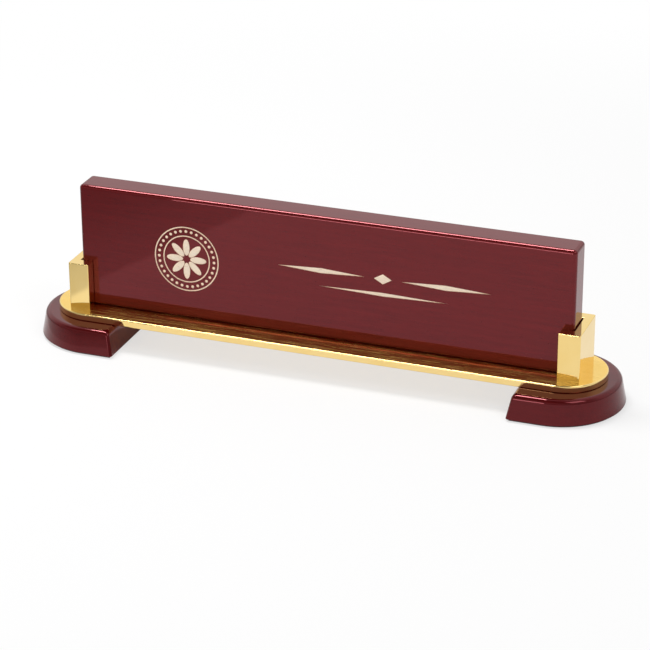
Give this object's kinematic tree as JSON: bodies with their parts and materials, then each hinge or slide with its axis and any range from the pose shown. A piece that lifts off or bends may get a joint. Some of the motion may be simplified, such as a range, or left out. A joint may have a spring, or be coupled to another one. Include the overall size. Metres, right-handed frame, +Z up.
{
  "type": "desk name plate",
  "caption": "Desk name plate: a glossy wooden board that lifts out of brass end brackets, on a round-ended brass plate carried by moulded wooden feet.",
  "frame": {"origin": "on the desk, under the middle of the object", "axes": "+X along the board to the right as seen from the front, the board's front faces -Y, +Z up"},
  "size_m": [0.3014, 0.0644, 0.0804],
  "materials": {
    "red_wood_lacquer": "dark red wood under thick clear gloss lacquer",
    "polished_brass": "mirror polished",
    "black_felt": "matt pressed felt",
    "zinc_steel": "bright zinc plated"
  },
  "bodies": {
    "base": {"base_plate": "polished_brass", "left_foot": "red_wood_lacquer", "right_foot": "red_wood_lacquer", "left_bracket": "polished_brass", "right_bracket": "polished_brass", "left_felt_pad": "black_felt", "right_felt_pad": "black_felt", "left_bracket_screws": "zinc_steel", "right_bracket_screws": "zinc_steel", "left_screw_washers": "zinc_steel", "right_screw_washers": "zinc_steel"},
    "board": {"name_board": "red_wood_lacquer"}
  },
  "joints": [
    {"name": "board_lift", "type": "slide", "parent": "base", "child": "board", "axis": [0, 0, 1], "range_m": [0, 0.03]}
  ]
}
